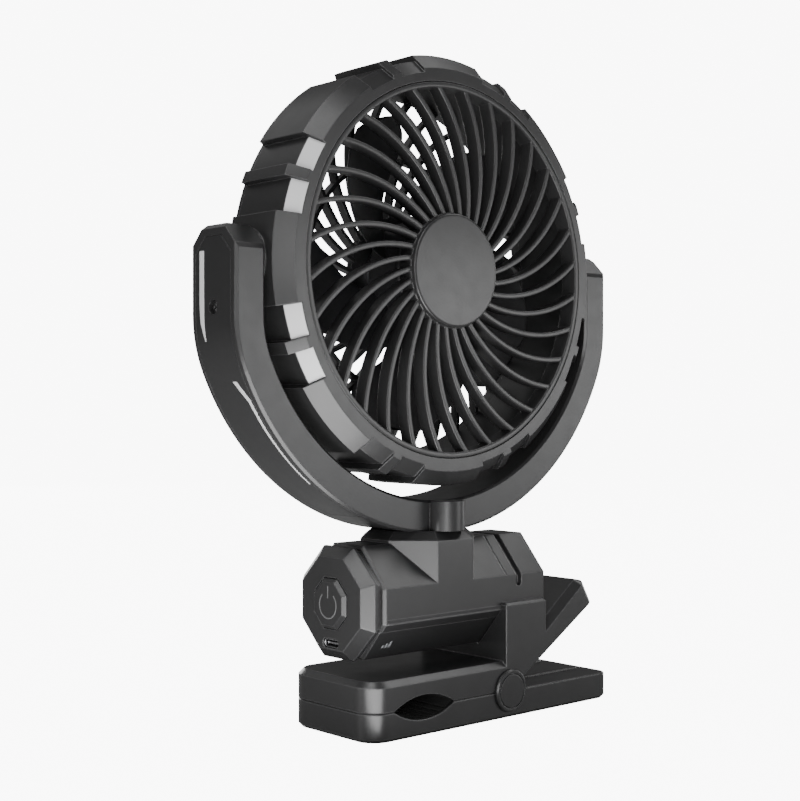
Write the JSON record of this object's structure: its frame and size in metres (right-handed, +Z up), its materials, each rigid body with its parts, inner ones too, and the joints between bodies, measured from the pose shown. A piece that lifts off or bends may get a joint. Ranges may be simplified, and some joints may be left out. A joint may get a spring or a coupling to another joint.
{
  "type": "clip-on electric fan",
  "caption": "Rechargeable clip-on fan: round head with swirled guards in a tilting, swivelling yoke, on an octagonal battery barrel with a power button and a spring clip.",
  "frame": {"origin": "on the bottom face of the lower jaw, below the swivel axis", "axes": "+Z up, -Y is the way the fan blows, +X along the barrel towards the lever's end"},
  "size_m": [0.1976, 0.053, 0.2622],
  "materials": {
    "charcoal": "satin moulded plastic",
    "black": "fine-grained moulded plastic",
    "silver": "satin silver plastic",
    "rubber": "matt",
    "steel": "bright",
    "cell": "sleeved",
    "motor": "satin",
    "board": "lacquered",
    "lens": "clear"
  },
  "bodies": {
    "base": {"lower_jaw": "charcoal", "lower_jaw_pad": "rubber", "hinge_pin": "steel", "hinge_caps": "charcoal", "clip_spring": "steel"},
    "clamp": {"upper_clamp": "charcoal", "upper_jaw_pad": "rubber", "barrel_upper_shell": "charcoal", "barrel_lower_shell": "charcoal", "button_end_cap": "charcoal", "button_board": "board", "button_switch": "black", "battery_cells": "cell", "cell_tray": "black", "charge_board": "board", "usb_c_socket": "steel", "indicator_lenses": "lens", "shell_screws": "steel"},
    "button": {"power_button": "black"},
    "yoke": {"yoke_frame": "charcoal", "yoke_cover_left": "charcoal", "yoke_cover_right": "charcoal", "yoke_accents": "silver", "cover_screws": "steel", "tilt_washers": "charcoal", "swivel_post": "steel", "swivel_retainer": "steel"},
    "head": {"ring_housing": "charcoal", "ring_accents": "silver", "front_grille": "black", "hub_cap": "charcoal", "rear_cover": "charcoal", "motor": "motor", "motor_screws": "steel", "rear_screws": "steel", "tilt_pivots": "steel"},
    "impeller": {"impeller": "black", "motor_shaft": "steel"}
  },
  "joints": [
    {"name": "clip_hinge", "type": "hinge", "parent": "base", "child": "clamp", "pos_m": [0.0272, 0, 0.011], "axis": [0, 1, 0], "range_deg": [0, 28], "stiffness_Nm_per_rad": 1.2, "springref_deg": -57.3, "deforming": ["clip_spring"]},
    {"name": "button_press", "type": "slide", "parent": "clamp", "child": "button", "axis": [1, 0, 0], "range_m": [0, 0.0005], "stiffness_N_per_m": 800, "springref_m": -0.0005},
    {"name": "swivel", "type": "hinge", "parent": "clamp", "child": "yoke", "pos_m": [0, 0, 0.0764], "axis": [0, 0, 1], "range_deg": [-180, 180]},
    {"name": "tilt", "type": "hinge", "parent": "yoke", "child": "head", "pos_m": [0, 0, 0.178], "axis": [1, 0, 0], "range_deg": [-90, 90]},
    {"name": "fan_spin", "type": "hinge", "parent": "head", "child": "impeller", "pos_m": [0, 0, 0.178], "axis": [0, 1, 0], "continuous": true}
  ]
}
